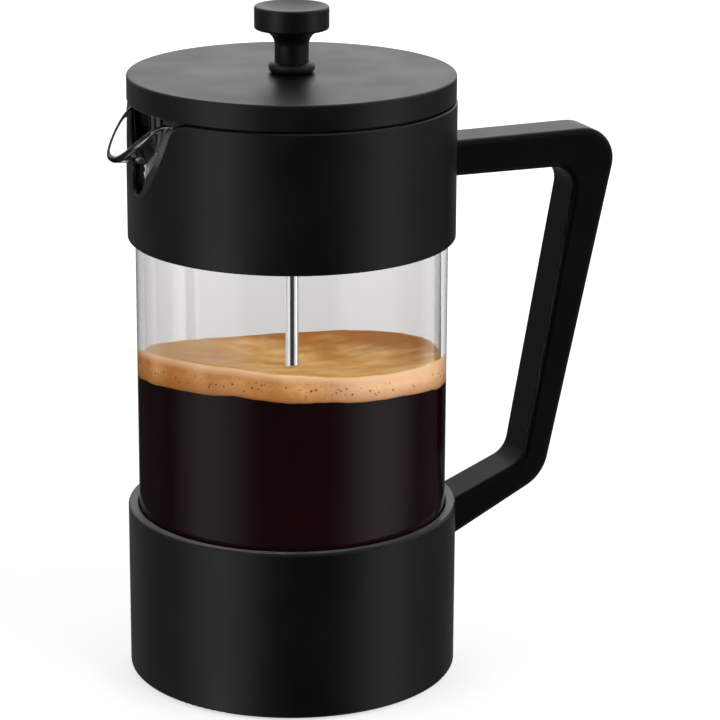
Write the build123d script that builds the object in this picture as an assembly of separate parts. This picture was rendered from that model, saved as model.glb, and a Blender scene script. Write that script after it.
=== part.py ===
from build123d import *

import os
from math import cos, radians, sin, sqrt, tan

# A plunger coffee maker: a glass beaker stands in a base cup and a collar that one handle joins.
# Millimetres. Z runs up the beaker's axis from the table, the handle points to +X, the spout to -X.

# Fits
SLIP_GAP = 0.3  # radial gap of what drops freely into, or out of, something round
RUNNING_GAP = 0.05  # radial gap of what turns or slides on a shaft
PLASTIC_EDGE = 0.7  # round on a moulded edge

# Glass beaker
GLASS_R = 49.0
GLASS_WALL = 2.0
GLASS_FLOOR = 3.0
GLASS_HEIGHT = 177.0
GLASS_HEEL_R = 7.0

# Pinched spout: a rounded V groove, cut off where the rim falls in an arc to its tip
SPOUT_REACH = 10.5  # tip, out from the glass wall
SPOUT_DROP = 12.5  # tip, down from the rim
SPOUT_NOSE_R = 8.0  # outside of the groove's bottom
SPOUT_SIDE_DEG = 42.0  # each side of the V, from the vertical
SPOUT_FALL_IN = 3.6  # where the rim starts to fall, in from the glass's outside
SPOUT_RIM_CROWN = 1.1  # height of the falling rim's arc over a straight line

# Base cup, its foot and the rest for the glass
FOOT_R = 43.0
FOOT_THICK = 2.0
FOOT_PROUD = 0.8
BASE_WALL = 3.2
BASE_FLOOR = 4.3
BASE_HEEL_R = 1.0
BASE_DEPTH = 47.9  # of glass held in the cup
REST_THICK = 2.0

# Collar and its notch for the spout: a slot, and a scoop that leans in and opens at the top
COLLAR_WALL = 2.1
COLLAR_HEIGHT = 43.2
COLLAR_PROUD = 1.7  # above the glass rim
COLLAR_EDGE = 0.5
NOTCH_GAP = 1.2  # beside the spout, at the glass rim
NOTCH_SLOT_R = 5.7
NOTCH_TAIL = 11.8  # slot below the spout's underside
SCOOP_FOOT = 1.5  # scoop below the slot's end
SCOOP_SHOULDER_DEG = 60.0  # scoop's top, from the vertical
SCOOP_SHOULDER_R = 6.0

# Handle
HANDLE_WIDTH = 16.5
HANDLE_EDGE = 1.8
ARM_HEIGHT = 11.5  # at the collar
ARM_RISE = 0.7  # of its top, from the collar out to the grip
LOWER_ARM_HEIGHT = 12.4
LOWER_ARM_DROP = 11.6  # its middle, below the base rim
GRIP_TOP_REACH = 59.5  # outer top corner, out from the collar
GRIP_FOOT_REACH = 33.4  # outer foot corner, out from the base
GRIP_TOP_DEPTH = 12.8
GRIP_FOOT_DEPTH = 9.1
GRIP_FOOT_RISE = 11.3  # outer foot corner, above the lower arm's middle
GRIP_FOOT_STEP = 6.0  # inner foot corner, above the outer one
GRIP_OUTER_TOP_R = 10.7
GRIP_INNER_TOP_R = 7.0
GRIP_OUTER_FOOT_R = 14.0
GRIP_INNER_FOOT_R = 8.0
SEAT_BITE = 0.15  # least depth that an arm's end is let into the wall behind it

# Handle screws, driven from inside
SCREW_R = 1.5
SCREW_HEAD_R = 2.9
SCREW_LENGTH = 10.0
SCREW_SPACING = 8.0
SCREW_RECESS = 0.8  # width of each arm of the cross in its head
SCREW_RECESS_DEPTH = 1.2
LOWER_SCREW_RISE = 2.0  # above the lower arm's middle

# Lid
LID_HEIGHT = 7.9
LID_TOP = 2.2
LID_WALL = 2.5
LID_INSET = 0.3  # its side, in from the collar's
LID_SEAM = 0.6  # gap above the collar
LID_BOSS_R = 9.0
LID_RIB_R = 39.0
LID_RIB_WALL = 2.0
PLATE_THICK = 2.4
SKIRT_WALL = 1.8
SKIRT_DEPTH = 12.6
STRAINER_SLOTS = 9
STRAINER_SLOT = 2.0
STRAINER_PITCH_DEG = 7.0
STRAINER_MARGIN = 2.0  # skirt left below and above the slots

# Seal ring
SEAL_FLANGE = 1.6
SEAL_LIP = 2.05
SEAL_DEPTH = 7.0
SEAL_RIM_INSET = 0.3  # flange edge, in from the glass
SEAL_SPOUT_GAP = 1.0  # beside the spout

# Guide bush through the lid, and its nut
BUSH_R = 4.5
BUSH_HEAD_R = 7.2
BUSH_HEAD_HEIGHT = 3.3
BUSH_BEAD_R = 1.5  # rounds of its head, below and above
BUSH_TAIL = 1.0  # below the nut
NUT_FLATS = 13.0
NUT_HEIGHT = 4.0

# Knob, its threaded insert and the rod
KNOB_R = 11.6
KNOB_HEIGHT = 17.4
KNOB_RIM = 7.0
KNOB_NECK_R = 5.3
KNOB_UNDERCUT = 1.6  # rise of the knob's underside from neck to rim
KNOB_NECK_FILLET = 4.6
KNOB_LIP = 1.5
KNOB_DISH = 1.3
INSERT_R = 4.0
INSERT_LENGTH = 9.0
INSERT_RECESS = 0.4
ROD_R = 2.0
ROD_THREAD_R = 1.75

# Filter stack, from the bottom up
FILTER_LIFT = 12.0  # cross plate above the glass floor
HUB_R = 6.0
HUB_HEIGHT = 6.0
CROSS_R = 41.0
CROSS_THICK = 0.8
CROSS_RIM = 5.0
CROSS_HUB_R = 10.0
CROSS_SPOKE = 8.0
CROSS_SPOKES = 6
MESH_THICK = 0.4
MESH_INSET = 0.4  # mesh edge, in from the spring's outside
SPRING_PLATE_THICK = 0.7
SPRING_COIL_R = 2.1
PLATE_HOLE_R = 3.0
PLATE_HOLE_ROWS = ((16.0, 8), (30.0, 16))  # pitch radius, count
FLANGE_R = 7.0
FLANGE_THICK = 1.5

# Radii that follow
glass_bore = GLASS_R - GLASS_WALL
socket_r = GLASS_R + SLIP_GAP
base_r = socket_r + BASE_WALL
collar_r = socket_r + COLLAR_WALL
lid_r = collar_r - LID_INSET
filter_r = glass_bore - SLIP_GAP
seal_bore = filter_r - SEAL_LIP
skirt_r = seal_bore - RUNNING_GAP
plate_rim_r = filter_r - 2 * SPRING_COIL_R

# Heights that follow, from the table up
base_bottom = FOOT_PROUD
base_top_of_floor = base_bottom + BASE_FLOOR
glass_bottom = base_top_of_floor + REST_THICK
glass_floor = glass_bottom + GLASS_FLOOR
base_rim = glass_bottom + BASE_DEPTH
glass_rim = glass_bottom + GLASS_HEIGHT
collar_top = glass_rim + COLLAR_PROUD
collar_bottom = collar_top - COLLAR_HEIGHT
plate_bottom = glass_rim + SEAL_FLANGE
plate_top = plate_bottom + PLATE_THICK
lid_bottom = collar_top + LID_SEAM
lid_top = lid_bottom + LID_HEIGHT
knob_bottom = lid_top + BUSH_HEAD_HEIGHT
knob_top = knob_bottom + KNOB_HEIGHT
cross_bottom = glass_floor + FILTER_LIFT
mesh_bottom = cross_bottom + CROSS_THICK
mesh_top = mesh_bottom + MESH_THICK
spring_plate_top = mesh_top + SPRING_PLATE_THICK
hub_bottom = cross_bottom - HUB_HEIGHT

# Spout, as its V is seen along X
spout_tip_x = -(GLASS_R + SPOUT_REACH)
spout_tip_z = glass_rim - SPOUT_DROP
spout_nose_z = spout_tip_z + SPOUT_NOSE_R
spout_side = radians(SPOUT_SIDE_DEG)


def turned(*outline):
    """A solid of revolution about Z from (radius, height) corners, each with an optional round."""
    corners = [corner[:2] for corner in outline]
    rounds = [corner[2] if len(corner) > 2 else 0 for corner in outline]
    face = make_face(FilletPolyline(*corners, radius=rounds, close=True).edges())
    return revolve(Plane.XZ * face, Axis.Z)


def disc(radius, bottom, top):
    return Pos(0, 0, bottom) * extrude(Circle(radius), top - bottom)


def v_half_width(nose_r, height):
    """Half the width of the spout's V at a height, for a nose of this radius."""
    return (height - spout_nose_z) * tan(spout_side) + nose_r / cos(spout_side)


def v_groove(nose_r, top, start_x, end_x):
    """The spout's rounded V as a prism along X."""
    half_top = v_half_width(nose_r, top)
    tangent_y = nose_r * cos(spout_side)
    tangent_z = spout_nose_z - nose_r * sin(spout_side)
    right, left = (tangent_y, tangent_z), (-tangent_y, tangent_z)
    outline = [
        ThreePointArc(left, (0, spout_nose_z - nose_r), right),
        Line(right, (half_top, top)),
        Line((half_top, top), (-half_top, top)),
        Line((-half_top, top), left),
    ]
    return Pos(start_x, 0, 0) * extrude(Plane.YZ * make_face(outline), end_x - start_x)


def make_base_foot():
    return turned((0, 0), (FOOT_R, 0, PLASTIC_EDGE / 2), (FOOT_R, FOOT_THICK), (0, FOOT_THICK))


def make_base_cup():
    recess_top = FOOT_THICK
    return turned(
        (0, recess_top),
        (FOOT_R, recess_top),
        (FOOT_R, base_bottom),
        (base_r, base_bottom, BASE_HEEL_R),
        (base_r, base_rim, PLASTIC_EDGE),
        (socket_r, base_rim, PLASTIC_EDGE),
        (socket_r, base_top_of_floor, PLASTIC_EDGE),
        (0, base_top_of_floor),
    )


def make_glass_rest():
    return disc(GLASS_R - GLASS_HEEL_R, base_top_of_floor, glass_bottom)


def make_beaker():
    over = glass_rim + SPOUT_DROP
    heel, inner_heel = GLASS_HEEL_R, GLASS_HEEL_R - GLASS_WALL
    outside = turned((0, glass_bottom), (GLASS_R, glass_bottom, heel), (GLASS_R, over), (0, over))
    inside = turned((0, glass_floor), (glass_bore, glass_floor, inner_heel), (glass_bore, over), (0, over))
    far_x = spout_tip_x - SPOUT_REACH
    glass = outside + v_groove(SPOUT_NOSE_R, over, far_x, -glass_bore / 2)
    glass -= inside
    glass -= v_groove(SPOUT_NOSE_R - GLASS_WALL, over, far_x, -glass_bore / 2)
    # Nothing stays above the rim, nor above and beyond the arc that falls from it to the spout's tip.
    fall_start = (SPOUT_FALL_IN - GLASS_R, glass_rim)
    tip = (spout_tip_x, spout_tip_z)
    far_z = spout_tip_z - SPOUT_DROP
    back_x = 2 * GLASS_R
    bounds = Polyline(
        tip, (far_x, far_z), (far_x, 2 * over), (back_x, 2 * over), (back_x, glass_rim), fall_start
    )
    cut_face = make_face([SagittaArc(tip, fall_start, SPOUT_RIM_CROWN), *bounds.edges()])
    return glass - extrude(Plane.XZ * cut_face, 2 * GLASS_R, both=True)


def make_handle():
    half_width = HANDLE_WIDTH / 2
    upper_seat = sqrt(collar_r**2 - half_width**2) - SEAT_BITE
    lower_seat = sqrt(base_r**2 - half_width**2) - SEAT_BITE
    upper_mid = (collar_top + collar_bottom) / 2
    lower_mid = base_rim - LOWER_ARM_DROP
    arm_top, arm_under = upper_mid + ARM_HEIGHT / 2, upper_mid - ARM_HEIGHT / 2
    foot_z = lower_mid + GRIP_FOOT_RISE
    top_x, foot_x = collar_r + GRIP_TOP_REACH, base_r + GRIP_FOOT_REACH
    lean = (top_x - foot_x) / (arm_top + ARM_RISE - foot_z)
    inner_top_x = top_x - lean * (ARM_RISE + ARM_HEIGHT) - GRIP_TOP_DEPTH
    inner_foot_x = foot_x + lean * GRIP_FOOT_STEP - GRIP_FOOT_DEPTH
    corners = [
        (upper_seat, arm_under),
        (inner_top_x, arm_under),
        (inner_foot_x, foot_z + GRIP_FOOT_STEP),
        (lower_seat, lower_mid + LOWER_ARM_HEIGHT / 2),
        (lower_seat, lower_mid - LOWER_ARM_HEIGHT / 2),
        (foot_x, foot_z),
        (top_x, arm_top + ARM_RISE),
        (upper_seat, arm_top),
    ]
    rounds = [0, GRIP_INNER_TOP_R, GRIP_INNER_FOOT_R, 0, 0, GRIP_OUTER_FOOT_R, GRIP_OUTER_TOP_R, 0]
    side = make_face(FilletPolyline(*corners, radius=rounds, close=True).edges())
    bar = extrude(Plane.XZ * side, half_width, both=True)
    on_seat = max(upper_seat, lower_seat) + SEAT_BITE
    long_edges = [
        edge
        for edge in bar.edges()
        if abs(edge.center().Y) > 0.9 * half_width and edge.center().X > on_seat
    ]
    return fillet(long_edges, HANDLE_EDGE)


def make_screws(height):
    """A pair of countersunk screws, side by side, from the socket's wall into the handle."""
    head_height = SCREW_HEAD_R - SCREW_R
    screw = turned(
        (0, 0), (SCREW_HEAD_R, 0), (SCREW_R, head_height), (SCREW_R, SCREW_LENGTH), (0, SCREW_LENGTH)
    )
    for angle in (0, 90):
        screw -= Rot(0, 0, angle) * Box(2 * SCREW_R, SCREW_RECESS, 2 * SCREW_RECESS_DEPTH)
    places = [Pos(socket_r, side * SCREW_SPACING / 2, height) for side in (-1, 1)]
    return Compound([place * Rot(0, 90, 0) * screw for place in places])


def make_notch_tool():
    """What the collar leaves open: a round-ended slot under the spout, and the scoop above its end."""
    outside_x = -2 * collar_r
    over = collar_top + COLLAR_WALL
    slot_bottom = spout_tip_z - NOTCH_TAIL
    slot_z = slot_bottom + NOTCH_SLOT_R
    left, right = (-NOTCH_SLOT_R, slot_z), (NOTCH_SLOT_R, slot_z)
    slot_sides = Polyline(right, (NOTCH_SLOT_R, over), (-NOTCH_SLOT_R, over), left)
    slot_face = make_face([ThreePointArc(left, (0, slot_bottom), right), *slot_sides.edges()])
    slot = Pos(outside_x, 0, 0) * extrude(Plane.YZ * slot_face, 2 * collar_r)
    # The scoop leans in until, at the glass rim, the spout passes with its gap.
    foot_z = slot_bottom - SCOOP_FOOT
    mouth_half = v_half_width(SPOUT_NOSE_R, glass_rim) + NOTCH_GAP
    mouth_x = -sqrt(socket_r**2 - mouth_half**2)
    lean = (collar_r + mouth_x) / (glass_rim - foot_z)
    low_x, low_z = -collar_r - lean * NOTCH_TAIL, foot_z - NOTCH_TAIL
    shoulder_x = mouth_x + (over - glass_rim) * tan(radians(SCOOP_SHOULDER_DEG))
    scoop_side = FilletPolyline(
        (outside_x, low_z), (low_x, low_z), (mouth_x, glass_rim), (shoulder_x, over), (outside_x, over),
        radius=[0, 0, SCOOP_SHOULDER_R, 0, 0], close=True,
    )
    return slot + extrude(Plane.XZ * make_face(scoop_side.edges()), collar_r, both=True)


def make_collar():
    ring = disc(collar_r, collar_bottom, collar_top) - disc(socket_r, collar_bottom, collar_top)
    ring -= make_notch_tool()
    # All edges are rounded, apart from the round walls' own seam lines on the handle's side.
    edges = [edge for edge in ring.edges() if edge.geom_type != GeomType.LINE or edge.center().X < 0]
    return fillet(edges, COLLAR_EDGE)


def make_lid_seal():
    """A ring that hangs on the glass rim, open at the spout, which keeps it from turning."""
    flange_r = GLASS_R - SEAL_RIM_INSET
    lip_bottom = glass_rim - SEAL_DEPTH
    ring = turned(
        (seal_bore, lip_bottom),
        (filter_r, lip_bottom, SEAL_LIP / 3),
        (filter_r, glass_rim),
        (flange_r, glass_rim),
        (flange_r, plate_bottom),
        (seal_bore, plate_bottom),
    )
    half_gap = v_half_width(SPOUT_NOSE_R, glass_rim) + SEAL_SPOUT_GAP
    gap = Pos(-GLASS_R, 0, glass_rim) * Box(GLASS_R, 2 * half_gap, 4 * SEAL_DEPTH)
    return ring - gap


def make_lid_cap():
    cavity_r = lid_r - LID_WALL
    ceiling = lid_top - LID_TOP
    shell = turned(
        (0, ceiling),
        (cavity_r, ceiling),
        (cavity_r, lid_bottom),
        (lid_r, lid_bottom, PLASTIC_EDGE / 2),
        (lid_r, lid_top, PLASTIC_EDGE),
        (0, lid_top),
    )
    shell += disc(LID_BOSS_R, plate_top, ceiling)
    shell += disc(LID_RIB_R, plate_top, ceiling) - disc(LID_RIB_R - LID_RIB_WALL, plate_top, ceiling)
    return shell - disc(BUSH_R + RUNNING_GAP, plate_top, lid_top)


def make_lid_plate():
    """The lid's inner plate, with a skirt that enters the beaker and is slotted on the spout's side."""
    plate_r = lid_r - LID_WALL - RUNNING_GAP
    skirt_bottom = plate_bottom - SKIRT_DEPTH
    plate = disc(plate_r, plate_bottom, plate_top) - disc(BUSH_R + RUNNING_GAP, plate_bottom, plate_top)
    skirt_bore = skirt_r - SKIRT_WALL
    plate += disc(skirt_r, skirt_bottom, plate_bottom) - disc(skirt_bore, skirt_bottom, plate_bottom)
    slot_height = SKIRT_DEPTH - 2 * STRAINER_MARGIN
    slot_place = Pos(-skirt_r, 0, plate_bottom - SKIRT_DEPTH / 2)
    slot = slot_place * Box(4 * SKIRT_WALL, STRAINER_SLOT, slot_height)
    middle = (STRAINER_SLOTS - 1) / 2
    for index in range(STRAINER_SLOTS):
        plate -= Rot(0, 0, (index - middle) * STRAINER_PITCH_DEG) * slot
    return plate


def make_lid_bush():
    bush_bottom = plate_bottom - NUT_HEIGHT - BUSH_TAIL
    return turned(
        (ROD_R + RUNNING_GAP, bush_bottom),
        (BUSH_R, bush_bottom),
        (BUSH_R, lid_top),
        (BUSH_HEAD_R, lid_top, BUSH_BEAD_R),
        (BUSH_HEAD_R, knob_bottom, BUSH_BEAD_R),
        (ROD_R + RUNNING_GAP, knob_bottom),
    )


def make_lid_nut():
    nut_bottom = plate_bottom - NUT_HEIGHT
    blank = extrude(RegularPolygon(NUT_FLATS / 2, 6, major_radius=False), NUT_HEIGHT)
    return Pos(0, 0, nut_bottom) * blank - disc(BUSH_R, nut_bottom, plate_bottom)


def make_knob():
    rim_bottom = knob_top - KNOB_RIM
    body = turned(
        (0, knob_bottom),
        (KNOB_NECK_R, knob_bottom),
        (KNOB_NECK_R, rim_bottom - KNOB_UNDERCUT, KNOB_NECK_FILLET),
        (KNOB_R, rim_bottom, PLASTIC_EDGE),
        (KNOB_R, knob_top, PLASTIC_EDGE),
        (0, knob_top),
    )
    dish_edge = KNOB_R - KNOB_LIP
    dish_r = (dish_edge**2 + KNOB_DISH**2) / (2 * KNOB_DISH)
    body -= Pos(0, 0, knob_top + dish_r - KNOB_DISH) * Sphere(dish_r)
    return body - disc(INSERT_R, knob_bottom, knob_bottom + INSERT_RECESS + INSERT_LENGTH)


def make_knob_insert():
    bottom = knob_bottom + INSERT_RECESS
    top = bottom + INSERT_LENGTH
    return disc(INSERT_R, bottom, top) - disc(ROD_THREAD_R, bottom, top)


def make_plunger_rod():
    shoulder = knob_bottom + INSERT_RECESS
    top = shoulder + INSERT_LENGTH
    return turned(
        (0, hub_bottom),
        (ROD_THREAD_R, hub_bottom),
        (ROD_THREAD_R, spring_plate_top),
        (ROD_R, spring_plate_top),
        (ROD_R, shoulder),
        (ROD_THREAD_R, shoulder),
        (ROD_THREAD_R, top),
        (0, top),
    )


def make_rod_flange():
    top = spring_plate_top + FLANGE_THICK
    return disc(FLANGE_R, spring_plate_top, top) - disc(ROD_R, spring_plate_top, top)


def make_spring_plate():
    """A holed plate whose upturned rim carries the spring."""
    rim_top = mesh_top + 2 * SPRING_COIL_R
    plate = turned(
        (ROD_THREAD_R, mesh_top),
        (plate_rim_r, mesh_top),
        (plate_rim_r, rim_top),
        (plate_rim_r - SPRING_PLATE_THICK, rim_top),
        (plate_rim_r - SPRING_PLATE_THICK, spring_plate_top),
        (ROD_THREAD_R, spring_plate_top),
    )
    for pitch_r, count in PLATE_HOLE_ROWS:
        for place in PolarLocations(pitch_r, count):
            plate -= place * disc(PLATE_HOLE_R, mesh_top, spring_plate_top)
    return plate


def make_rim_spring():
    return Pos(0, 0, mesh_top + SPRING_COIL_R) * Torus(filter_r - SPRING_COIL_R, SPRING_COIL_R)


def make_filter_mesh():
    return disc(filter_r - MESH_INSET, mesh_bottom, mesh_top) - disc(ROD_THREAD_R, mesh_bottom, mesh_top)


def make_cross_plate():
    rim = disc(CROSS_R, cross_bottom, mesh_bottom) - disc(CROSS_R - CROSS_RIM, cross_bottom, mesh_bottom)
    plate = rim + disc(CROSS_HUB_R, cross_bottom, mesh_bottom)
    spoke_length = CROSS_R - CROSS_RIM / 2
    spoke_place = Pos(spoke_length / 2, 0, cross_bottom + CROSS_THICK / 2)
    spoke = spoke_place * Box(spoke_length, CROSS_SPOKE, CROSS_THICK)
    for index in range(CROSS_SPOKES):
        plate += Rot(0, 0, index * 360 / CROSS_SPOKES) * spoke
    return plate - disc(ROD_THREAD_R, cross_bottom, mesh_bottom)


def make_filter_hub():
    return disc(HUB_R, hub_bottom, cross_bottom) - disc(ROD_THREAD_R, hub_bottom, cross_bottom)


handle = make_handle()
upper_screws = make_screws((collar_top + collar_bottom) / 2)
lower_screws = make_screws(base_rim - LOWER_ARM_DROP + LOWER_SCREW_RISE)

# The handle's ends are let into the collar and the base, and its screws pass through both.
pieces = {
    "base_foot": make_base_foot(),
    "base_cup": make_base_cup() - handle - lower_screws,
    "glass_rest": make_glass_rest(),
    "collar": make_collar() - handle - upper_screws,
    "handle": handle - upper_screws - lower_screws,
    "handle_upper_screws": upper_screws,
    "handle_lower_screws": lower_screws,
    "beaker": make_beaker(),
    "lid_seal": make_lid_seal(),
    "lid_cap": make_lid_cap(),
    "lid_plate": make_lid_plate(),
    "lid_bush": make_lid_bush(),
    "lid_nut": make_lid_nut(),
    "knob": make_knob(),
    "knob_insert": make_knob_insert(),
    "plunger_rod": make_plunger_rod(),
    "rod_flange": make_rod_flange(),
    "spring_plate": make_spring_plate(),
    "rim_spring": make_rim_spring(),
    "filter_mesh": make_filter_mesh(),
    "cross_plate": make_cross_plate(),
    "filter_hub": make_filter_hub(),
}

os.makedirs("parts", exist_ok=True)
for name, piece in pieces.items():
    export_step(piece, f"parts/{name}.step")
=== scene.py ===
from math import cos, exp, pi, radians, sin, sqrt, tau

import bpy
import numpy as np
from mathutils import Matrix, Vector, noise


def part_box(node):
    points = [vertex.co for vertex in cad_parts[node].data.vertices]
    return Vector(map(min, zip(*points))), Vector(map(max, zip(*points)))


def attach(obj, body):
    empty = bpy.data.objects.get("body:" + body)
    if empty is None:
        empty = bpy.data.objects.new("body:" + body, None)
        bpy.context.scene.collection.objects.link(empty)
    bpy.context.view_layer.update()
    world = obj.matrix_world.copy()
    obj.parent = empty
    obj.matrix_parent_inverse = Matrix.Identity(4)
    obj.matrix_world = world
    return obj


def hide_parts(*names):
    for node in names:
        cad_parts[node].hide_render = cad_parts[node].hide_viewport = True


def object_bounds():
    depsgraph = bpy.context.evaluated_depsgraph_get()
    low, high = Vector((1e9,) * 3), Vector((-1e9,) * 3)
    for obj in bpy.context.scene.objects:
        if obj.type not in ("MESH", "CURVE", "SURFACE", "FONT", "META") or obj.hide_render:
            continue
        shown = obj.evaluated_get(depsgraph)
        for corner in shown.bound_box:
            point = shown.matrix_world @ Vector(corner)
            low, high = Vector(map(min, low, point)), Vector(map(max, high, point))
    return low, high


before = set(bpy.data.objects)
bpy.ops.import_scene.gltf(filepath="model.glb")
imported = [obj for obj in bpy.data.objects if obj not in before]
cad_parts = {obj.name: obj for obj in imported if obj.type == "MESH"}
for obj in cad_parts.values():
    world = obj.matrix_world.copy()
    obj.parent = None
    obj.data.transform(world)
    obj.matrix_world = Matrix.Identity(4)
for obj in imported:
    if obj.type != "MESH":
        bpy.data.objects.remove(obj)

# A plunger coffee maker on a pale floor: glass, spring, filter cloth, rubber pads and finishes around the
# fixed solids, with coffee in the beaker as a prop. Metres; Z runs up the beaker's axis and the spout points
# to -X.

cad_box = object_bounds()
MM = 0.001

# Camera, as the photograph was taken: turned about the axis from the front, then pitched, yawed and rolled
CAMERA_TURN = radians(21.0)
CAMERA_DISTANCE = 0.923  # from the axis, level
CAMERA_HEIGHT = 0.3771
CAMERA_PITCH = radians(16.625)
CAMERA_YAW = radians(-1.338)
CAMERA_ROLL = radians(0.313)
CAMERA_LENS = 151.7
CAMERA_SENSOR = 36.0

# Glass beaker
GLASS_WALL = 2.0 * MM
GLASS_FLOOR = 3.0 * MM
GLASS_HEEL_R = 7.0 * MM
SPOUT_DROP = 12.5 * MM
SPOUT_HALF_WIDTH = 16.5 * MM  # where the spout leaves the round wall
SPOUT_ROUNDNESS = 2.6  # power that makes its plan fuller than a parabola
SPOUT_EASE = 1.15  # power that eases it into the wall
SPOUT_DROOP = 1.5  # power by which the rim falls late, near the tip
SPOUT_FILLET = 1.8 * MM  # height of the bend from wall to spout
SPOUT_FILLET_MID = 2.2 * MM  # more of it under the middle
SPOUT_FILLET_SPREAD = 4.0 * MM
SPOUT_UNDERSIDE = 0.4 * MM  # fall of the underside from rim to wall
SPOUT_MARGIN = 1.06  # of its half width, within which the glass has close columns

# Coffee and its foam, seen through the glass. Places on the foam are in bore radii: towards the camera, and
# aside, which is towards the spout's side.
COFFEE_SINK = 0.05 * MM  # into the glass, so that no air shows between them
COFFEE_FOOT = 0.9  # of its radius, on the glass floor
FOAM_TOP = 104.8 * MM
FOAM_DEPTH = 9.8 * MM
FOAM_THIN = 1.4 * MM  # less of it towards the camera
FOAM_SIDE_THIN = 0.5 * MM  # and towards the spout's side
FOAM_TWIST_THICK = 0.9 * MM  # more at the front of the spout's side
FOAM_TILT = 6.8 * MM  # rise towards the camera
FOAM_SIDE_TILT = 0.4 * MM  # rise towards the spout's side
FOAM_SADDLE = 0.8 * MM  # rise at both sides, and fall at the front and back
FOAM_TWIST = 1.6 * MM  # fall at the back of the spout's side
FOAM_DIP = 4.5 * MM  # middle, below the edge
FOAM_RIPPLE = 0.6 * MM
FOAM_RIPPLE_SIZE = 14 * MM
FOAM_RIPPLE_FALL = 0.6  # of the finer ripples, as a power of their size
FOAM_RIPPLE_EDGE = 0.5  # share of it that is left at the glass
FOAM_UNEVEN = 0.08  # share by which its thickness varies
FOAM_UNEVEN_SIZE = 9 * MM
FOAM_UNEVEN_LAYER = 0.05  # a layer's height in the noise keeps its pattern apart from the others

# Foam's top: painted shade, browner towards the back and the handle's side, and a painted highlight, paler on
# the spout's side
SHORE_BACK = 0.85  # how fast it browns to the back
SHORE_SIDE = 0.5  # and to the handle's side
SHORE_START = 0.25
SHORE_FADE = 0.5
SHORE_RAGGED = 0.25
SHORE_RAGGED_SIZE = 13 * MM
SHORE_RAGGED_FALL = 0.7
SHORE_LAYER = 0.02
SHORE_LOSS = 0.7  # share of it that the paler side takes away
PALE_START = 0.25
PALE_FADE = 0.35
PALE_RAGGED = 0.3
PALE_RAGGED_SIZE = 15 * MM
PALE_LAYER = 0.01
FRACTAL_STEP = 2.0  # each finer layer of ragged noise is this much smaller
FRACTAL_LAYERS = 4

# The same, on its band against the glass: painted shade, browner on the spout's side, with a darker patch in
# it, and a painted highlight, paler on the handle's side
BAND_BROWN = 0.5
BAND_BROWN_START = -0.1
BAND_BROWN_FADE = 0.25
BAND_PATCH = 0.45  # a darker patch
BAND_PATCH_ASIDE = 0.72
BAND_PATCH_HALF_WIDTH = 0.12
BAND_PALE_START = 0.1
BAND_PALE_FADE = 0.35

# Foam's colours: top and band go by its mottle, and the others lie over them. The top's are painted brighter
# than the band's, as painted light that makes up for the shade of the collar and lid over it
FOAM_TOP_PAINTED_LIGHT_COLOURS = (
    (0.34, (0.84, 0.390, 0.100)),
    (0.48, (0.95, 0.500, 0.155)),
    (0.62, (0.99, 0.640, 0.270)),
)
FOAM_BAND_COLOURS = (
    (0.32, (0.33, 0.120, 0.030)),
    (0.48, (0.56, 0.260, 0.092)),
    (0.64, (0.78, 0.430, 0.185)),
)
FOAM_SPECKLE = (0.88, 0.52, 0.22, 1.0)
# The paler colour is a painted highlight, the browner one painted shade (on the band with a darker patch
# too), and the rim's colour a painted highlight along the foam's lip
FOAM_PAINTED_HIGHLIGHT = (0.87, 0.54, 0.32, 1.0)
FOAM_SHADE_AND_PATCH = (0.46, 0.165, 0.032, 1.0)
FOAM_FOOT = (0.30, 0.105, 0.024, 1.0)
FOAM_LIP_HIGHLIGHT = (0.80, 0.53, 0.33, 1.0)
FOAM_PORE = (0.20, 0.062, 0.014, 1.0)
SPECKLE_MOST = 0.25  # shares of them, where they are strongest
PALE_MOST = 0.75
SHORE_MOST = 0.9
FOOT_MOST = 0.7
RIM_MOST = 0.7

# Where these fade in or out, in shares of the band's depth from its top or of what is said
BAND_IN = (0.0, 0.12)
FOOT_IN = (0.50, 1.0)
RIM_IN = (0.0, 0.06)
RIM_OUT = (0.10, 0.30)
PORES_IN = (0.30, 0.45)
PORES_OUT = (0.72, 0.86)
PORE_SPACING = 1.6 * MM
PORE_EDGE = (0.16, 0.30)  # of the spacing
PORE_CHOICE = (0.22, 0.40)  # of a random value that picks some of them
SPECKLE_IN = (0.4, 0.75)  # of the speckle's noise

# Filter
SPRING_WIRE_R = 0.36 * MM
SPRING_TURNS = 190
SPRING_STEPS = 12  # points in one turn
CLOTH_PITCH = 1.6 * MM
CLOTH_WIRE_R = 0.1 * MM
CLOTH_WIRE_SIDES = 4
CLOTH_HOLE_R = 2.4 * MM

# Rubber pads
RIB_RISE = 0.5 * MM
FOOT_RIBS = 12
REST_RIBS = 9

# Studio, by the angle round the axis from the camera, in degrees: how bright its walls are in satin and
# polished surfaces, its walls in the smooth outside of the glass, its sky in both, and all of it on a path
# that was turned back within one glass wall or inside the beaker
STUDIO_WALLS = (
    (-180, 0.70),
    (-164, 0.14),
    (-146, 0.17),
    (-118, 0.12),
    (-80, 0.16),
    (-50, 0.92),
    (-22, 0.05),
    (0, 0.015),
    (42, 0.045),
    (68, 0.68),
    (96, 0.16),
    (130, 0.08),
    (164, 0.18),
    (180, 0.70),
)
STUDIO_SMOOTH_WALLS = (
    (-180, 0.30),
    (-162, 0.02),
    (-104, 0.045),
    (-63, 0.42),
    (-18, 0.06),
    (0, 0.05),
    (26, 0.06),
    (68, 0.49),
    (112, 0.06),
    (162, 0.02),
    (180, 0.30),
)
STUDIO_SKY = (
    (-180, 1.20),
    (-150, 0.58),
    (-120, 0.22),
    (-52, 0.60),
    (0, 0.15),
    (66, 0.50),
    (130, 0.80),
    (160, 1.35),
    (180, 1.20),
)
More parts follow.
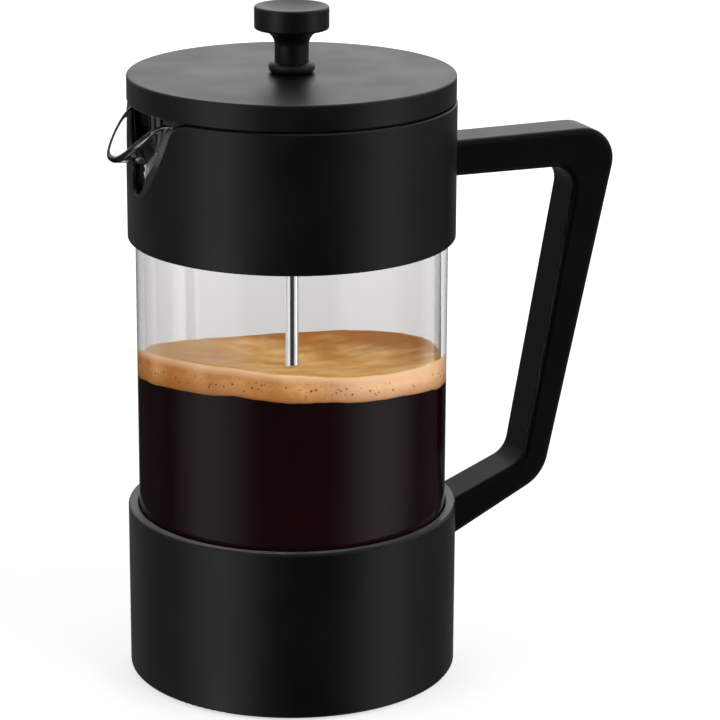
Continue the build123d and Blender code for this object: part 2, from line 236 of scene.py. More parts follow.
STUDIO_WITHIN_WALL = (
    (-180, 0.80),
    (-125, 0.80),
    (-105, 0.10),
    (105, 0.10),
    (125, 1.20),
    (170, 1.20),
    (180, 0.80),
)
STUDIO_INSIDE = (
    (-180, 1.30),
    (-140, 0.90),
    (-106, 0.70),
    (-80, 1.20),
    (-46, 1.20),
    (-30, 0.05),
    (34, 0.05),
    (50, 1.15),
    (76, 1.20),
    (86, 2.60),
    (98, 2.60),
    (120, 0.60),
    (140, 0.35),
    (180, 0.20),
)
SKY_START = -0.06  # of a way's rise, where the walls give over to the sky
SKY_END = 0.16
AMBIENT = 0.45
SEEN_THROUGH_GLASS = 0.80
FLOOR_HALF = 3.0
FLOOR_COLOUR = 0.30
FLOOR_GLOW = 0.63
FLOOR_GLOW_FAR = 0.93
FLOOR_NEAR = 0.35  # distances from the press between which the glow changes
FLOOR_FAR = 0.95
FLOOR_GLASS_GLOW = 0.33  # the same, seen through the beaker
FLOOR_GLASS_GLOW_FAR = 0.66

# Lamps: angle round the axis from the camera, in degrees, height, distance from the axis, side and watts
LAMPS = {
    "key": (55, 0.55, 0.9, 0.7, 11),
    "fill": (-60, 0.60, 1.0, 0.7, 8),
    "top": (180, 1.1, 0.35, 0.9, 4),
    "back": (180, 0.60, 0.9, 0.7, 6),
}

# Limits for a path's counts, halfway between two whole numbers
NO_BOUNCE = 0.5
ONE_WALL = 2.5  # a wall of glass has two surfaces

# Where nearly all of a noise lies, and where a metal turns from dull to clean
NOISE_LOW = 0.3
NOISE_HIGH = 0.7
TARNISH_LOW = 0.35
TARNISH_HIGH = 0.6
TARNISH_SHADE = 0.86

# Which finish the fixed solids get
FINISHES = {
    "base_cup": "black_plastic",
    "collar": "black_plastic",
    # The handle gets painted shade: a darker copy of the black plastic
    "handle": "shaded_grip_plastic",
    "lid_cap": "black_plastic",
    "knob": "black_plastic",
    "lid_plate": "inner_plastic",
    "lid_bush": "inner_plastic",
    "lid_nut": "inner_plastic",
    "lid_seal": "silicone",
    "handle_upper_screws": "screw_steel",
    "handle_lower_screws": "screw_steel",
    "plunger_rod": "polished_steel",
    "rod_flange": "filter_steel",
    "filter_hub": "filter_steel",
    "spring_plate": "filter_steel",
    "cross_plate": "filter_steel",
    "knob_insert": "insert_brass",
}


# Node helpers

def grey(level):
    return (level, level, level, 1.0)


def new_material(name):
    material = bpy.data.materials.new(name)
    material.use_nodes = True
    return material, material.node_tree, material.node_tree.nodes["Principled BSDF"]


def add(tree, kind, inputs=None, **settings):
    """A node, with its settings, and its inputs set to values or linked from other sockets."""
    node = tree.nodes.new(kind)
    for key, value in settings.items():
        setattr(node, key, value)
    feed(tree, node, inputs or {})
    return node


def feed(tree, node, inputs):
    for socket, value in inputs.items():
        if isinstance(value, bpy.types.NodeSocket):
            tree.links.new(value, node.inputs[socket])
        else:
            node.inputs[socket].default_value = value


def place(tree):
    """Where a point is on its own piece, at rest."""
    return add(tree, "ShaderNodeTexCoord").outputs["Object"]


def stretched(tree, scale):
    return add(tree, "ShaderNodeMapping", {"Vector": place(tree), "Scale": scale}).outputs["Vector"]


def grain(tree, size, detail=3.0, vector=None):
    """Noise of this feature size, from 0 to 1."""
    inputs = {"Vector": vector or place(tree), "Scale": 1 / size, "Detail": detail}
    return add(tree, "ShaderNodeTexNoise", inputs).outputs["Fac"]


def between(tree, value, low, high, start=NOISE_LOW, end=NOISE_HIGH):
    """value, from start to end, spread over low to high."""
    inputs = {"Value": value, "From Min": start, "From Max": end, "To Min": low, "To Max": high}
    return add(tree, "ShaderNodeMapRange", inputs).outputs["Result"]


def ramp(tree, value, stops, interpolation="LINEAR"):
    """Colours along a value. stops are (position, colour)."""
    node = add(tree, "ShaderNodeValToRGB", {"Fac": value})
    node.color_ramp.interpolation = interpolation
    elements = node.color_ramp.elements
    while len(elements) < len(stops):
        elements.new(0.5)
    for element, (position, colour) in zip(elements, stops):
        element.position = position
        element.color = (*colour, 1.0)
    return node.outputs["Color"]


def shades(tree, value, dark, light):
    return ramp(tree, value, ((NOISE_LOW, dark), (NOISE_HIGH, light)))


def mixed(tree, factor, one, other):
    """One colour where factor is 0, the other where it is 1."""
    inputs = {"Factor": factor, "A": one, "B": other}
    return add(tree, "ShaderNodeMix", inputs, data_type="RGBA").outputs["Result"]


def attribute(tree, name):
    return add(tree, "ShaderNodeAttribute", attribute_name=name).outputs["Fac"]


def bump(tree, shader, height, distance, strength):
    node = add(tree, "ShaderNodeBump", {"Height": height, "Distance": distance, "Strength": strength})
    tree.links.new(node.outputs["Normal"], shader.inputs["Normal"])


def calculate(tree, operation, one, other):
    return add(tree, "ShaderNodeMath", {0: one, 1: other}, operation=operation).outputs[0]


def above(tree, value, limit):
    return calculate(tree, "GREATER_THAN", value, limit)


def times(tree, one, other):
    return calculate(tree, "MULTIPLY", one, other)


def larger(tree, one, other):
    return calculate(tree, "MAXIMUM", one, other)


def turned_back(tree):
    """1 on a path that a shiny surface has turned back."""
    return above(tree, add(tree, "ShaderNodeLightPath").outputs["Glossy Depth"], NO_BOUNCE)


def many_walls(tree):
    """1 on a path that has gone through more than one glass wall, each of two surfaces."""
    return above(tree, add(tree, "ShaderNodeLightPath").outputs["Transmission Depth"], ONE_WALL)


def mirrored(tree):
    """1 on a path that a shiny surface has turned back, apart from one that stayed in a single glass wall."""
    through = add(tree, "ShaderNodeLightPath").outputs["Is Transmission Ray"]
    outside = calculate(tree, "SUBTRACT", 1.0, through)
    return times(tree, turned_back(tree), larger(tree, outside, many_walls(tree)))


def hide(tree, shader, where, left=1.0):
    """Leaves a surface out of the paths where this is 1. left is the share of light that passes there."""
    clear = add(tree, "ShaderNodeBsdfTransparent", {"Color": grey(left)})
    mix = add(tree, "ShaderNodeMixShader", {0: where, 1: shader.outputs["BSDF"], 2: clear.outputs["BSDF"]})
    tree.links.new(mix.outputs["Shader"], tree.nodes["Material Output"].inputs["Surface"])


# Materials

def moulded_plastic(name, dark, light, smooth, rough, grain_depth, gleam=0.5):
    """Satin plastic: spark-eroded grain, and slow changes of shade and gloss from the moulding."""
    material, tree, shader = new_material(name)
    flow = grain(tree, size=22 * MM, detail=2.0)
    fine = grain(tree, size=0.55 * MM, detail=2.0)
    feed(tree, shader, {
        "Base Color": shades(tree, flow, dark, light),
        "Roughness": between(tree, flow, smooth, rough),
        "Specular IOR Level": gleam,
    })
    bump(tree, shader, fine, distance=grain_depth, strength=0.35)
    return material


def rubber(name, dark, light):
    material, tree, shader = new_material(name)
    cloud = grain(tree, size=9 * MM, detail=4.0)
    fine = grain(tree, size=0.4 * MM, detail=2.0)
    feed(tree, shader, {
        "Base Color": shades(tree, cloud, dark, light),
        "Roughness": between(tree, cloud, low=0.55, high=0.72),
        "Specular IOR Level": 0.4,
    })
    bump(tree, shader, fine, distance=0.02 * MM, strength=0.5)
    return material


def clear_glass():
    """Blown glass, with a slow waviness that bends reflections a little, and lamps shining through it."""
    material, tree, shader = new_material("clear_glass")
    feed(tree, shader, {
        "Base Color": (0.910, 0.903, 0.889, 1.0),
        "Roughness": 0.0,
        "IOR": 1.47,
        "Transmission Weight": 1.0,
    })
    waves = grain(tree, size=30 * MM, detail=1.0)
    bump(tree, shader, waves, distance=0.05 * MM, strength=0.25)
    hide(tree, shader, add(tree, "ShaderNodeLightPath").outputs["Is Shadow Ray"], left=0.96)
    return material


def steel(name, colour, smooth, rough, lines):
    """Metal with fine polishing lines. lines is the stretch of their pattern along each axis."""
    material, tree, shader = new_material(name)
    marks = grain(tree, size=1.0, vector=stretched(tree, lines))
    tarnish = grain(tree, size=14 * MM)
    dull = tuple(TARNISH_SHADE * channel for channel in colour)
    feed(tree, shader, {
        "Base Color": ramp(tree, tarnish, ((TARNISH_LOW, dull), (TARNISH_HIGH, colour))),
        "Metallic": 1.0,
        "Roughness": between(tree, marks, smooth, rough),
    })
    bump(tree, shader, marks, distance=0.004 * MM, strength=0.4)
    return material


def coffee_liquid():
    material, tree, shader = new_material("coffee_liquid")
    cloud = grain(tree, size=30 * MM, detail=2.0)
    feed(tree, shader, {
        "Base Color": shades(tree, cloud, (0.0045, 0.0004, 0.0004), (0.0070, 0.0008, 0.0007)),
        "Roughness": 0.35,
        "Specular IOR Level": 0.0,
    })
    hide(tree, shader, turned_back(tree))  # so that the polished rod mirrors the studio
    return material


def coffee_foam():
    """Foam: mottled tan on top, and a band of pores where it lies against the glass, with painted shade and
    painted highlights over them.
    """
    material, tree, shader = new_material("coffee_foam")
    depth, shade_and_patch, pale = (attribute(tree, name) for name in ("depth", "shade_and_patch", "pale"))
    mottle = grain(tree, size=11 * MM, detail=6.0)
    speckle = grain(tree, size=1.1 * MM, detail=4.0)
    inputs = {"Vector": place(tree), "Scale": 1 / PORE_SPACING, "Randomness": 1.0}
    cells = add(tree, "ShaderNodeTexVoronoi", inputs).outputs
    chance = add(tree, "ShaderNodeSeparateColor", {"Color": cells["Color"]}).outputs["Red"]
    pores = between(tree, cells["Distance"], 1.0, 0.0, *PORE_EDGE)
    for limit in (
        between(tree, chance, 0.0, 1.0, *PORE_CHOICE),
        between(tree, depth, 0.0, 1.0, *PORES_IN),
        between(tree, depth, 1.0, 0.0, *PORES_OUT),
    ):
        pores = times(tree, pores, limit)
    # A painted highlight just under the foam's lip, at the top of its band
    rim = times(tree, between(tree, depth, 0.0, RIM_MOST, *RIM_IN), between(tree, depth, 1.0, 0.0, *RIM_OUT))
    # Over the mottle: speckles, a painted highlight where it is paler, painted shade where it is browner
    # (with the band's darker patch), the darker foot, a painted highlight along the lip, and pores
    colour = ramp(tree, mottle, FOAM_TOP_PAINTED_LIGHT_COLOURS)
    for factor, other in (
        (between(tree, depth, 0.0, 1.0, *BAND_IN), ramp(tree, mottle, FOAM_BAND_COLOURS)),
        (between(tree, speckle, 0.0, SPECKLE_MOST, *SPECKLE_IN), FOAM_SPECKLE),
        (between(tree, pale, 0.0, PALE_MOST, 0.0, 1.0), FOAM_PAINTED_HIGHLIGHT),
        (between(tree, shade_and_patch, 0.0, SHORE_MOST, 0.0, 1.0), FOAM_SHADE_AND_PATCH),
        (between(tree, depth, 0.0, FOOT_MOST, *FOOT_IN), FOAM_FOOT),
        (rim, FOAM_LIP_HIGHLIGHT),
        (pores, FOAM_PORE),
    ):
        colour = mixed(tree, factor, colour, other)
    feed(tree, shader, {
        "Base Color": colour,
        "Roughness": 0.6,
        "Specular IOR Level": 0.0,
    })
    bump(tree, shader, speckle, distance=0.2 * MM, strength=0.5)
    hide(tree, shader, turned_back(tree))
    return material


def pale_floor():
    """White to the eye, pale through glass, with a faint shadow. From below and in mirrors it isn't there."""
    material, tree, shader = new_material("pale_floor")
    light_path = add(tree, "ShaderNodeLightPath").outputs
    distance = add(tree, "ShaderNodeVectorMath", {0: place(tree)}, operation="LENGTH").outputs["Value"]
    open_glow = between(tree, distance, FLOOR_GLOW, FLOOR_GLOW_FAR, FLOOR_NEAR, FLOOR_FAR)
    glass_glow = between(tree, distance, FLOOR_GLASS_GLOW, FLOOR_GLASS_GLOW_FAR, FLOOR_NEAR, FLOOR_FAR)
    glow = between(tree, many_walls(tree), open_glow, glass_glow, 0.0, 1.0)
    seen = larger(tree, light_path["Is Camera Ray"], light_path["Is Transmission Ray"])
    feed(tree, shader, {
        "Base Color": grey(FLOOR_COLOUR),
        "Roughness": 0.9,
        "Specular IOR Level": 0.0,
        "Emission Color": grey(1.0),
        "Emission Strength": times(tree, glow, seen),
    })
    below = add(tree, "ShaderNodeNewGeometry").outputs["Backfacing"]
    hide(tree, shader, larger(tree, below, turned_back(tree)))
    return material


# Mesh helpers

def mesh_object(name, points, faces, material, smooth=True):
    mesh = bpy.data.meshes.new(name)
    mesh.from_pydata([tuple(point) for point in points], [], faces)
    mesh.materials.append(material)
    mesh.polygons.foreach_set("use_smooth", [smooth] * len(mesh.polygons))
    mesh.validate()
    mesh.update()
    piece = bpy.data.objects.new(name, mesh)
    bpy.context.scene.collection.objects.link(piece)
    return piece


def ring_faces(rows, columns, flip=False):
    """Quads between rows of points, each row a closed ring."""
    faces = []
    for row in range(rows - 1):
        for column in range(columns):
            after = (column + 1) % columns
            near, far = row * columns, (row + 1) * columns
            face = (near + column, near + after, far + after, far + column)
            faces.append(face[::-1] if flip else face)
    return faces


def fan_faces(ring_start, columns, centre, flip=False):
    faces = []
    for column in range(columns):
        face = (ring_start + column, centre, ring_start + (column + 1) % columns)
        faces.append(face[::-1] if flip else face)
    return faces


def turned(name, outline, material, columns=128):
    """A piece turned about Z from (radius, height) points that run from the axis, out, up and back to it."""
    angles = [tau * column / columns for column in range(columns)]
    points = [(r * cos(a), r * sin(a), z) for r, z in outline[1:-1] for a in angles]
    faces = ring_faces(len(outline) - 2, columns)
    first, last = outline[0], outline[-1]
    points += [(0, 0, first[1]), (0, 0, last[1])]
    faces += fan_faces(0, columns, len(points) - 2)
    faces += fan_faces((len(outline) - 3) * columns, columns, len(points) - 1, flip=True)
    return mesh_object(name, points, faces, material)


# Glass beaker

def spout_shape(y):
    """How far the spout is pulled out across its width: 1 in the middle, 0 at the round wall."""
    across = min(abs(y) / SPOUT_HALF_WIDTH, 1.0)
    return (1 - across**SPOUT_ROUNDNESS) ** SPOUT_EASE


def glass_column(angle, glass_r, bottom, rim, reach):
    """The outside of the glass at one angle from the spout, out along its bottom and up to its rim."""
    floor_steps, heel_steps, wall_steps, bend_steps = 5, 8, 14, 12
    side, ahead = sin(angle), -cos(angle)
    flat = [(glass_r - GLASS_HEEL_R) * step / floor_steps for step in range(1, floor_steps + 1)]
    profile = [(r, bottom) for r in flat]
    for step in range(1, heel_steps + 1):
        turn = pi / 2 * step / heel_steps
        r = glass_r - GLASS_HEEL_R + GLASS_HEEL_R * sin(turn)
        profile.append((r, bottom + GLASS_HEEL_R - GLASS_HEEL_R * cos(turn)))
    y = glass_r * side
    pull = spout_shape(y) if ahead < 0 else 0.0
    lip = rim - GLASS_WALL / 2 - SPOUT_DROP * pull**SPOUT_DROOP
    bend = SPOUT_FILLET + SPOUT_FILLET_MID * exp(-((y / SPOUT_FILLET_SPREAD) ** 2))
    start = profile[-1][1]
    for step in range(1, wall_steps + 1):
        profile.append((glass_r, start + (lip - bend - start) * step / wall_steps))
    points = [(r * ahead, r * side, z) for r, z in profile]
    wall_x = glass_r * ahead
    for step in range(1, bend_steps + 1):
        t = step / bend_steps
        out = reach * pull * t**2
        height = (1 - t) ** 2 * (lip - bend) + 2 * t * (1 - t) * (lip - SPOUT_UNDERSIDE) + t**2 * lip
        points.append((wall_x - out, y, height))
    return points


def glass_angles(glass_r):
    """Angles from the spout, close together across it."""
    spout_columns, rest_columns = 61, 150
    edge = SPOUT_MARGIN * SPOUT_HALF_WIDTH / glass_r
    spout = np.linspace(-edge, edge, spout_columns)
    rest = np.linspace(edge, tau - edge, rest_columns)[1:-1]
    return [*spout, *rest]


def glass_normals(outer, bottom):
    """Which way is out, at rows of points up the outside of the glass."""
    along = np.gradient(outer, axis=0)
    around = np.roll(outer, -1, axis=1) - np.roll(outer, 1, axis=1)
    normal = np.cross(around, along)
    normal /= np.linalg.norm(normal, axis=2, keepdims=True)
    radial = outer * (1, 1, 0)
    outward = (normal * radial).sum(2, keepdims=True)
    facing = np.where(outer[:, :, 2:] > bottom + MM, outward, -normal[:, :, 2:])
    return normal * np.sign(facing)


def glass_lip(outer, inner):
    """Rows of points round the rim, from the outside over to the inside."""
    lip_steps = 6
    up = outer[-1] - outer[-2]
    up /= np.linalg.norm(up, axis=1, keepdims=True)
    middle, half = (outer[-1] + inner[-1]) / 2, (outer[-1] - inner[-1]) / 2
    turns = [pi * step / lip_steps for step in range(1, lip_steps)]
    return [middle + cos(turn) * half + sin(turn) * GLASS_WALL / 2 * up for turn in turns]


def make_glass():
    """The beaker, of even thickness apart from its floor. Gives its bore's radius and its floor's height."""
    low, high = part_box("beaker")
    glass_r, bottom, rim = high[1], low[2], high[2]
    reach = -low[0] - glass_r - GLASS_WALL / 2
    angles = glass_angles(glass_r)
    columns = len(angles)
    outer = np.array([glass_column(a, glass_r, bottom, rim, reach) for a in angles]).transpose(1, 0, 2)
    flat = np.clip((bottom + GLASS_HEEL_R - outer[:, :, 2:]) / GLASS_HEEL_R, 0, 1)
    inner = outer - glass_normals(outer, bottom) * (GLASS_WALL + (GLASS_FLOOR - GLASS_WALL) * flat)
    lip = glass_lip(outer, inner)
    rows = [*outer, *lip, *inner[::-1]]
    points = np.concatenate(rows).tolist()
    points += [(0, 0, bottom), (0, 0, bottom + GLASS_FLOOR)]
    faces = ring_faces(len(rows), columns, flip=True)
    faces += fan_faces(0, columns, len(points) - 2, flip=True)
    faces += fan_faces((len(rows) - 1) * columns, columns, len(points) - 1)
    glass = mesh_object("glass_beaker", points, faces, materials["clear_glass"])
    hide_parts("beaker")
    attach(glass, "beaker")
    return glass_r - GLASS_WALL, bottom + GLASS_FLOOR


# Coffee, a prop that stays with the beaker

def limited(value):
    return min(max(value, 0.0), 1.0)


def ragged(x, y, layer, size, fall):
    """Noise with finer and finer detail."""
    return noise.fractal(Vector((x, y, layer)) / size, fall, FRACTAL_STEP, FRACTAL_LAYERS)


def foam_sides(x, y, bore):
    """How far a place lies towards the camera and towards the spout's side, in bore radii."""
    towards = -(x * sin(CAMERA_TURN) + y * cos(CAMERA_TURN)) / bore
    aside = (-x * cos(CAMERA_TURN) + y * sin(CAMERA_TURN)) / bore
    return towards, aside


def foam_height(x, y, bore):
    """The foam's top at a place: it climbs the glass, and stands higher on the camera's side."""
    towards, aside = foam_sides(x, y, bore)
    hollow = 1 - towards**2 - aside**2
    ripple = ragged(x, y, 0, FOAM_RIPPLE_SIZE, FOAM_RIPPLE_FALL)
    z = FOAM_TOP + FOAM_TILT * towards + FOAM_SIDE_TILT * aside - FOAM_DIP * hollow
    z += FOAM_SADDLE * (aside**2 - towards**2) + 2 * FOAM_TWIST * aside * towards
    return z + FOAM_RIPPLE * ripple * (FOAM_RIPPLE_EDGE + (1 - FOAM_RIPPLE_EDGE) * limited(hollow))


def foam_painted_highlight(x, y, bore):
    """1 on the spout's side, where the top is paler, as a painted highlight."""
    aside = foam_sides(x, y, bore)[1]
    wander = PALE_RAGGED * noise.noise(Vector((x, y, PALE_LAYER)) / PALE_RAGGED_SIZE)
    return limited((aside + wander - PALE_START) / PALE_FADE)


def foam_painted_shade(x, y, bore):
    """1 at the back of the top, where it is painted browner as shade, to 0 near its middle."""
    towards, aside = foam_sides(x, y, bore)
    wander = SHORE_RAGGED * ragged(x, y, SHORE_LAYER, SHORE_RAGGED_SIZE, SHORE_RAGGED_FALL)
    brown = limited((wander - SHORE_BACK * towards - SHORE_SIDE * aside - SHORE_START) / SHORE_FADE)
    return brown * (1 - SHORE_LOSS * foam_painted_highlight(x, y, bore))


def band_shade_and_patch(x, y, bore):
    """The band's browner part on the spout's side, painted shade, with a darker patch in it."""
    aside = foam_sides(x, y, bore)[1]
    brown = limited((aside - BAND_BROWN_START) / BAND_BROWN_FADE)
    patch = limited(1 - abs(aside - BAND_PATCH_ASIDE) / BAND_PATCH_HALF_WIDTH)
    return BAND_BROWN * brown + BAND_PATCH * patch


def band_painted_highlight(x, y, bore):
    """The band's paler part on the handle's side, a painted highlight."""
    aside = foam_sides(x, y, bore)[1]
    return limited((-aside - BAND_PALE_START) / BAND_PALE_FADE)


def foam_depth(x, y, bore):
    """The foam's thickness against the glass."""
    towards, aside = foam_sides(x, y, bore)
    uneven = 1 + FOAM_UNEVEN * noise.noise(Vector((x, y, FOAM_UNEVEN_LAYER)) / FOAM_UNEVEN_SIZE)
    twist = 2 * FOAM_TWIST_THICK * aside * towards
    return (FOAM_DEPTH - FOAM_THIN * towards - FOAM_SIDE_THIN * aside + twist) * uneven


def make_foam(bore, circle):
    """The foam, whose edge is a circle of places. Gives it and the points of its underside's edge."""
    columns, rings, band_rows = len(circle), 30, 10
    # Each point carries its depth down the band, its painted shade (with the band's darker patch) and its
    # painted highlight
    points, depth, shade_and_patch, pale = [], [], [], []
    for ring in range(1, rings + 1):
        for x, y in circle:
            x, y = x * ring / rings, y * ring / rings
            points.append((x, y, foam_height(x, y, bore)))
            depth.append(0.0)
            shade_and_patch.append(foam_painted_shade(x, y, bore))
            pale.append(foam_painted_highlight(x, y, bore))
    for row in range(1, band_rows + 1):
        for x, y in circle:
            points.append((x, y, foam_height(x, y, bore) - foam_depth(x, y, bore) * row / band_rows))
            depth.append(row / band_rows)
            shade_and_patch.append(band_shade_and_patch(x, y, bore))
            pale.append(band_painted_highlight(x, y, bore))
    rows = rings + band_rows
    underside = points[-columns:]
    middle = foam_height(0, 0, bore)
    points += [(0, 0, middle), (0, 0, middle - FOAM_DEPTH)]
    faces = ring_faces(rows, columns, flip=True) + fan_faces(0, columns, len(points) - 2, flip=True)
    faces += fan_faces((rows - 1) * columns, columns, len(points) - 1)
    foam = mesh_object("coffee_foam", points, faces, materials["coffee_foam"])
    for name, values in (("depth", depth), ("shade_and_patch", shade_and_patch), ("pale", pale)):
        values += [0.0, values[-1]]
        foam.data.attributes.new(name, "FLOAT", "POINT").data.foreach_set("value", values)
    return foam, underside


def make_coffee(bore, floor):
    radius, columns = bore + COFFEE_SINK, 160
    angles = [tau * column / columns for column in range(columns)]
    circle = [(radius * cos(angle), radius * sin(angle)) for angle in angles]
    foam, surface = make_foam(bore, circle)
    side = [(x, y, floor + GLASS_HEEL_R) for x, y in circle]
    foot = [(x * COFFEE_FOOT, y * COFFEE_FOOT, floor - COFFEE_SINK) for x, y in circle]
    ends = [(0, 0, foam_height(0, 0, bore) - 2 * FOAM_DEPTH), (0, 0, floor - COFFEE_SINK)]
    rows = (surface, side, foot)
    points = [point for row in (*rows, ends) for point in row]
    faces = ring_faces(len(rows), columns, flip=True)
    faces += fan_faces(0, columns, len(points) - 2, flip=True)
    faces += fan_faces((len(rows) - 1) * columns, columns, len(points) - 1)
    liquid = mesh_object("coffee_liquid", points, faces, materials["coffee_liquid"])
    for filling in (foam, liquid):
        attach(filling, "beaker")


# Filter

def make_spring():
    """The coil round the filter's rim, one closed wire."""
    low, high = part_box("rim_spring")
    coil_r = (high[2] - low[2]) / 2 - SPRING_WIRE_R
    ring_r = high[0] - coil_r - SPRING_WIRE_R
    middle = (low[2] + high[2]) / 2
    curve = bpy.data.curves.new("coil_spring", "CURVE")
    curve.dimensions = "3D"
    curve.bevel_depth = SPRING_WIRE_R
    curve.bevel_resolution = 1
    curve.use_fill_caps = True
    spline = curve.splines.new("POLY")
    count = SPRING_TURNS * SPRING_STEPS
    spline.points.add(count - 1)
    for index, point in enumerate(spline.points):
        around = tau * index / count
        turn = around * SPRING_TURNS
        r = ring_r + coil_r * cos(turn)
        point.co = (r * cos(around), r * sin(around), middle + coil_r * sin(turn), 1.0)
    spline.use_cyclic_u = True
    curve.materials.append(materials["filter_steel"])
    spring = bpy.data.objects.new("coil_spring", curve)
    bpy.context.scene.collection.objects.link(spring)
    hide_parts("rim_spring")
    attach(spring, "plunger")


def cloth_wire(across, start, end, along_x, phase, middle):
    """Corner points and faces of one wire that runs over and under the wires that it crosses."""
    steps = max(2, round((end - start) / CLOTH_PITCH) * 2)
    points = []
    for step in range(steps + 1):
        along = start + (end - start) * step / steps
        lift = CLOTH_WIRE_R * cos(pi * (along / CLOTH_PITCH + phase))
        for corner in range(CLOTH_WIRE_SIDES):
            turn = tau * corner / CLOTH_WIRE_SIDES
            a = across + CLOTH_WIRE_R * cos(turn)
            z = middle + lift + CLOTH_WIRE_R * sin(turn)
            points.append((along, a, z) if along_x else (a, along, z))
    faces = ring_faces(steps + 1, CLOTH_WIRE_SIDES, flip=not along_x)
    corners = range(CLOTH_WIRE_SIDES)
    ends = [tuple(reversed(corners)), tuple(steps * CLOTH_WIRE_SIDES + corner for corner in corners)]
    faces += [face if along_x else face[::-1] for face in ends]
    return points, faces


def cloth_rim(radius, middle, rim_r):
    """Points and faces of the rolled rim, a round ring."""
    columns, sides = 160, 8
    points = []
    for column in range(columns):
        around = tau * column / columns
        for side in range(sides):
            turn = tau * side / sides
            r = radius - rim_r + rim_r * cos(turn)
            points.append((r * cos(around), r * sin(around), middle + rim_r * sin(turn)))
    faces = ring_faces(columns, sides)
    last = (columns - 1) * sides
    faces += [(last + side, last + (side + 1) % sides, (side + 1) % sides, side) for side in range(sides)]
    return points, faces


def make_cloth():
    """Woven wire cloth, with a hole for the rod and a rolled rim."""
    low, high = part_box("filter_mesh")
    radius, middle = high[0], (low[2] + high[2]) / 2
    points, faces = [], []

    def join(part_points, part_faces):
        base = len(points)
        points.extend(part_points)
        faces.extend(tuple(base + corner for corner in face) for face in part_faces)

    count = int(radius / CLOTH_PITCH)
    for index in range(-count, count + 1):
        across = index * CLOTH_PITCH
        end = sqrt(radius**2 - across**2) - 2 * CLOTH_WIRE_R
        if end < CLOTH_PITCH:
            continue
        hole = sqrt(max(CLOTH_HOLE_R**2 - across**2, 0.0))
        spans = ((-end, -hole), (hole, end)) if hole else ((-end, end),)
        for along_x in (True, False):
            for start, stop in spans:
                join(*cloth_wire(across, start, stop, along_x, index + (0 if along_x else 1), middle))
    join(*cloth_rim(radius, middle, high[2] - middle))
    cloth = mesh_object("woven_mesh", points, faces, materials["fine_mesh"])
    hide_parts("filter_mesh")
    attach(cloth, "plunger")


# Rubber pads

def ribbed(radius, bottom, top, rib_bottom, count):
    """An outline with round ribs across its lower face, for turning."""
    rib = radius / (count + 1)
    steps = 6
    outline = [(0, bottom)]
    for index in range(count):
        for step in range(steps):
            r = rib * (index + 0.5 + step / steps)
            outline.append((r, bottom - (bottom - rib_bottom) * sin(pi * step / steps)))
    outline.append((rib * (count + 0.5), bottom))
    edge = (top - bottom) / 4
    return [*outline, (radius - edge, bottom), (radius, bottom + edge), (radius, top), (0, top)]


def make_pads():
    low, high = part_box("base_foot")
    outline = ribbed(high[0], low[2] + RIB_RISE, high[2], low[2], FOOT_RIBS)
    foot = turned("ribbed_foot", outline, materials["silicone"])
    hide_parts("base_foot")
    low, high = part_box("glass_rest")
    outline = ribbed(high[0], -(high[2] - RIB_RISE), -low[2], -high[2], REST_RIBS)
    rest = turned("ribbed_rest", [(r, -z) for r, z in outline], materials["silicone"])
    rest.data.flip_normals()
    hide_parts("glass_rest")
    for pad in (foot, rest):
        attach(pad, "stand")


# Studio

def make_camera():
    data = bpy.data.cameras.new("camera")
    data.lens = CAMERA_LENS
    data.sensor_width = CAMERA_SENSOR
    camera = bpy.data.objects.new("camera", data)
    bpy.context.scene.collection.objects.link(camera)
    stand = Vector((-CAMERA_DISTANCE * sin(CAMERA_TURN), -CAMERA_DISTANCE * cos(CAMERA_TURN), CAMERA_HEIGHT))
    turn = Matrix.Rotation(CAMERA_YAW - CAMERA_TURN, 4, "Z")
    tilt = Matrix.Rotation(pi / 2 - CAMERA_PITCH, 4, "X")
    roll = Matrix.Rotation(CAMERA_ROLL, 4, "Z")
    camera.matrix_world = Matrix.Translation(stand) @ turn @ tilt @ roll
    bpy.context.scene.camera = camera


def studio_level(tree, turn, stops):
    """Brightness by the angle round the axis."""
    return ramp(tree, turn, [((degrees + 180) / 360, (level,) * 3) for degrees, level in stops], "EASE")


def make_world():
    """White to the eye, pale through glass, and to shiny surfaces a studio of soft lights round the axis."""
    world = bpy.data.worlds.new("studio")
    world.use_nodes = True
    world.cycles.sampling_method = "NONE"
    tree = world.node_tree
    light_path = add(tree, "ShaderNodeLightPath").outputs
    way = add(tree, "ShaderNodeTexCoord").outputs["Generated"]
    front = (-sin(CAMERA_TURN), -cos(CAMERA_TURN), 0.0)
    right = (cos(CAMERA_TURN), -sin(CAMERA_TURN), 0.0)
    ahead = add(tree, "ShaderNodeVectorMath", {0: way, 1: front}, operation="DOT_PRODUCT").outputs["Value"]
    aside = add(tree, "ShaderNodeVectorMath", {0: way, 1: right}, operation="DOT_PRODUCT").outputs["Value"]
    rise = add(tree, "ShaderNodeSeparateXYZ", {"Vector": way}).outputs["Z"]
    angle = calculate(tree, "ARCTAN2", aside, ahead)
    turn = between(tree, angle, 0.0, 1.0, -pi, pi)
    walls, smooth_walls, sky, within_wall, inside = (
        studio_level(tree, turn, stops)
        for stops in (STUDIO_WALLS, STUDIO_SMOOTH_WALLS, STUDIO_SKY, STUDIO_WITHIN_WALL, STUDIO_INSIDE)
    )
    walls = mixed(tree, light_path["Is Singular Ray"], walls, smooth_walls)
    studio = mixed(tree, between(tree, rise, 0.0, 1.0, SKY_START, SKY_END), walls, sky)
    through = light_path["Is Transmission Ray"]
    colour = grey(AMBIENT)
    for seen, value in (
        (through, grey(SEEN_THROUGH_GLASS)),
        (times(tree, turned_back(tree), through), within_wall),
        (mirrored(tree), studio),
        (times(tree, turned_back(tree), many_walls(tree)), inside),
        (light_path["Is Camera Ray"], grey(1.0)),
    ):
        colour = mixed(tree, seen, colour, value)
    feed(tree, tree.nodes["Background"], {"Color": colour})
    bpy.context.scene.world = world


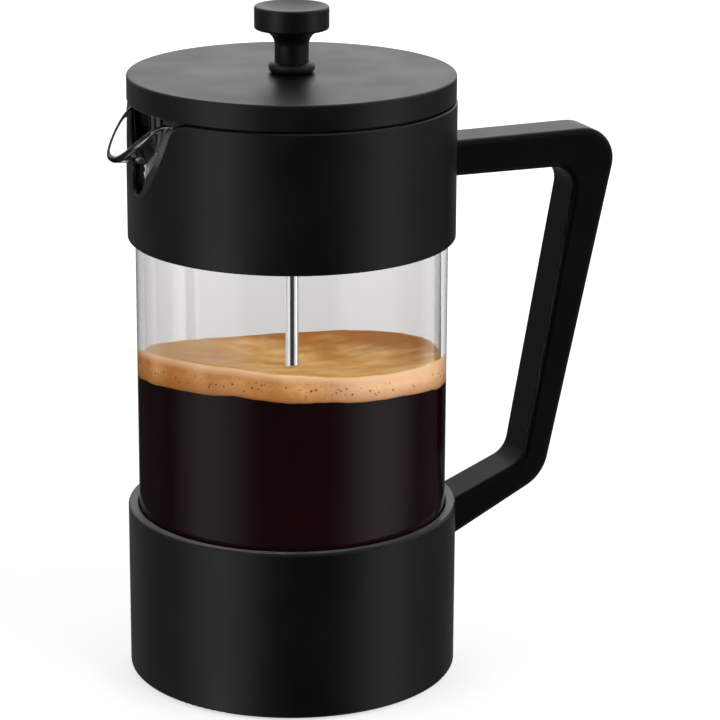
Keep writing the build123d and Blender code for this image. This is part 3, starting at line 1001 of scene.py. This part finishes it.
def make_lamp(name, angle, height, distance, size, power):
    """A soft square lamp at an angle round the axis from the camera, aimed at the press's middle."""
    data = bpy.data.lights.new(name, "AREA")
    data.shape = "SQUARE"
    data.size = size
    data.energy = power
    lamp = bpy.data.objects.new(name, data)
    bpy.context.scene.collection.objects.link(lamp)
    around = CAMERA_TURN - radians(angle)
    lamp.location = (-distance * sin(around), -distance * cos(around), height)
    target = Vector((0, 0, (cad_box[0][2] + cad_box[1][2]) / 2))
    lamp.rotation_euler = (target - lamp.location).to_track_quat("-Z", "Y").to_euler()
    lamp.visible_glossy = False
    lamp.visible_transmission = False


def make_floor():
    corners = [(FLOOR_HALF * x, FLOOR_HALF * y, 0) for x, y in ((-1, -1), (1, -1), (1, 1), (-1, 1))]
    floor = mesh_object("floor", corners, [(0, 1, 2, 3)], pale_floor(), smooth=False)


materials = {
    "black_plastic": moulded_plastic(
        "black_plastic",
        dark=(0.0010, 0.0010, 0.0011),
        light=(0.0020, 0.0020, 0.0021),
        smooth=0.34,
        rough=0.42,
        grain_depth=0.02 * MM,
    ),
    # A darker copy of the black plastic, with less gleam: painted shade on the handle, which is of the same
    # plastic
    "shaded_grip_plastic": moulded_plastic(
        "shaded_grip_plastic",
        dark=(0.0006, 0.0006, 0.0007),
        light=(0.0012, 0.0012, 0.0013),
        smooth=0.30,
        rough=0.36,
        grain_depth=0.01 * MM,
        gleam=0.18,
    ),
    "inner_plastic": moulded_plastic(
        "inner_plastic",
        dark=(0.0016, 0.0016, 0.0017),
        light=(0.0030, 0.0030, 0.0032),
        smooth=0.36,
        rough=0.46,
        grain_depth=0.03 * MM,
    ),
    "silicone": rubber("silicone", dark=(0.012, 0.012, 0.013), light=(0.022, 0.022, 0.023)),
    "clear_glass": clear_glass(),
    "coffee_foam": coffee_foam(),
    "coffee_liquid": coffee_liquid(),
}
for name, colour, smooth, rough, lines in (
    ("polished_steel", (0.88, 0.88, 0.89), 0.04, 0.08, (300, 300, 6000)),
    ("filter_steel", (0.66, 0.66, 0.65), 0.16, 0.30, (200, 3000, 3000)),
    ("fine_mesh", (0.55, 0.55, 0.54), 0.22, 0.36, (2000, 2000, 2000)),
    ("screw_steel", (0.60, 0.60, 0.60), 0.22, 0.34, (2000, 2000, 2000)),
    ("insert_brass", (0.72, 0.50, 0.22), 0.18, 0.30, (300, 300, 6000)),
):
    materials[name] = steel(name, colour, smooth, rough, lines)

for name, finish in FINISHES.items():
    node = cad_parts[name]
    node.data.materials.clear()
    node.data.materials.append(materials[finish])

make_camera()
make_world()
make_floor()
for name, settings in LAMPS.items():
    make_lamp(name, *settings)
bore, coffee_floor = make_glass()
make_coffee(bore, coffee_floor)
make_spring()
make_cloth()
make_pads()

bpy.context.scene.view_settings.view_transform = "Standard"
